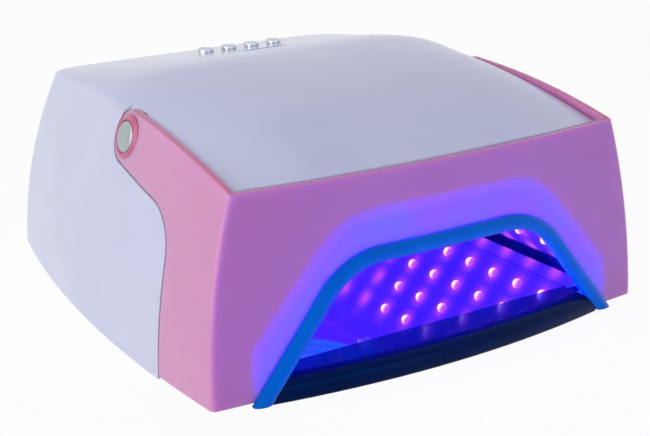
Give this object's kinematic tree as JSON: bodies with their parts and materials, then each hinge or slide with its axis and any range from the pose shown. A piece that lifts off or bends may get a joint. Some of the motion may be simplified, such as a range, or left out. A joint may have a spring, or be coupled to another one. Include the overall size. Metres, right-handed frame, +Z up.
{
  "type": "uv nail lamp",
  "caption": "Desktop lamp that cures gel polish: rounded white housing, translucent swing-up visor with an arch for the hand, pull-out mirror tray, push buttons and display.",
  "frame": {"origin": "under the middle of the lamp's bounding box, on the surface that its rubber feet stand on", "axes": "+Z up, -Y is the front with the hand opening, X runs across the lamp, which is the same on both sides apart from what is on its roof and rear"},
  "size_m": [0.226, 0.2488, 0.1096],
  "materials": {
    "housing": "glossy white",
    "housing_base": "satin white",
    "rail": "dark moulded",
    "reflector": "bright folded sheet",
    "circuit_board": "solder mask",
    "led_lens": "clear epoxy",
    "white_plastic": "moulded",
    "tube_glass": "coated glass",
    "black_rubber": "moulded rubber",
    "transformer_tape": "taped winding",
    "black_plastic": "moulded",
    "display_window": "tinted clear",
    "silver": "silver lacquer",
    "screw_steel": "zinc plated",
    "visor_tint": "translucent, glossy",
    "trim_blue": "glossy",
    "cap_silver": "silver lacquer",
    "tray_dark": "glossy dark",
    "tray_mirror": "mirror sheet"
  },
  "bodies": {
    "housing": {"top_shell": "housing", "base_frame": "housing_base", "tray_rail_left": "rail", "tray_rail_right": "rail", "side_mirrors": "tray_mirror", "reflector": "reflector", "led_board_left": "circuit_board", "led_board_right": "circuit_board", "led_lenses_left": "led_lens", "led_lenses_right": "led_lens", "tube_holder": "white_plastic", "coil_tube": "tube_glass", "tube_boots": "black_rubber", "ballast_board": "circuit_board", "transformer": "transformer_tape", "control_board": "circuit_board", "button_switches": "black_plastic", "display_module": "black_plastic", "display_window": "display_window", "power_jack": "black_plastic", "hinge_screws": "screw_steel", "base_screws": "screw_steel", "rubber_feet": "black_rubber"},
    "visor": {"visor": "visor_tint", "visor_trim": "trim_blue", "hinge_cap_left": "cap_silver", "hinge_cap_right": "cap_silver"},
    "tray": {"tray": "tray_dark", "tray_mirror": "tray_mirror"},
    "time_button_short": {"time_button_short": "silver"},
    "time_button_medium": {"time_button_medium": "silver"},
    "time_button_long": {"time_button_long": "silver"},
    "power_button": {"power_button": "silver"}
  },
  "joints": [
    {"name": "visor_hinge", "type": "hinge", "parent": "housing", "child": "visor", "pos_m": [0, -0.02071, 0.0877], "axis": [-1, 0, 0], "range_deg": [0, 70]},
    {"name": "tray_slide", "type": "slide", "parent": "housing", "child": "tray", "axis": [0, -1, 0], "range_m": [0, 0.11]},
    {"name": "time_button_short_press", "type": "slide", "parent": "housing", "child": "time_button_short", "axis": [0, 0, -1], "range_m": [0, 0.0008], "stiffness_N_per_m": 600},
    {"name": "time_button_medium_press", "type": "slide", "parent": "housing", "child": "time_button_medium", "axis": [0, 0, -1], "range_m": [0, 0.0008], "stiffness_N_per_m": 600},
    {"name": "time_button_long_press", "type": "slide", "parent": "housing", "child": "time_button_long", "axis": [0, 0, -1], "range_m": [0, 0.0008], "stiffness_N_per_m": 600},
    {"name": "power_button_press", "type": "slide", "parent": "housing", "child": "power_button", "axis": [0, 0, -1], "range_m": [0, 0.0008], "stiffness_N_per_m": 600}
  ]
}
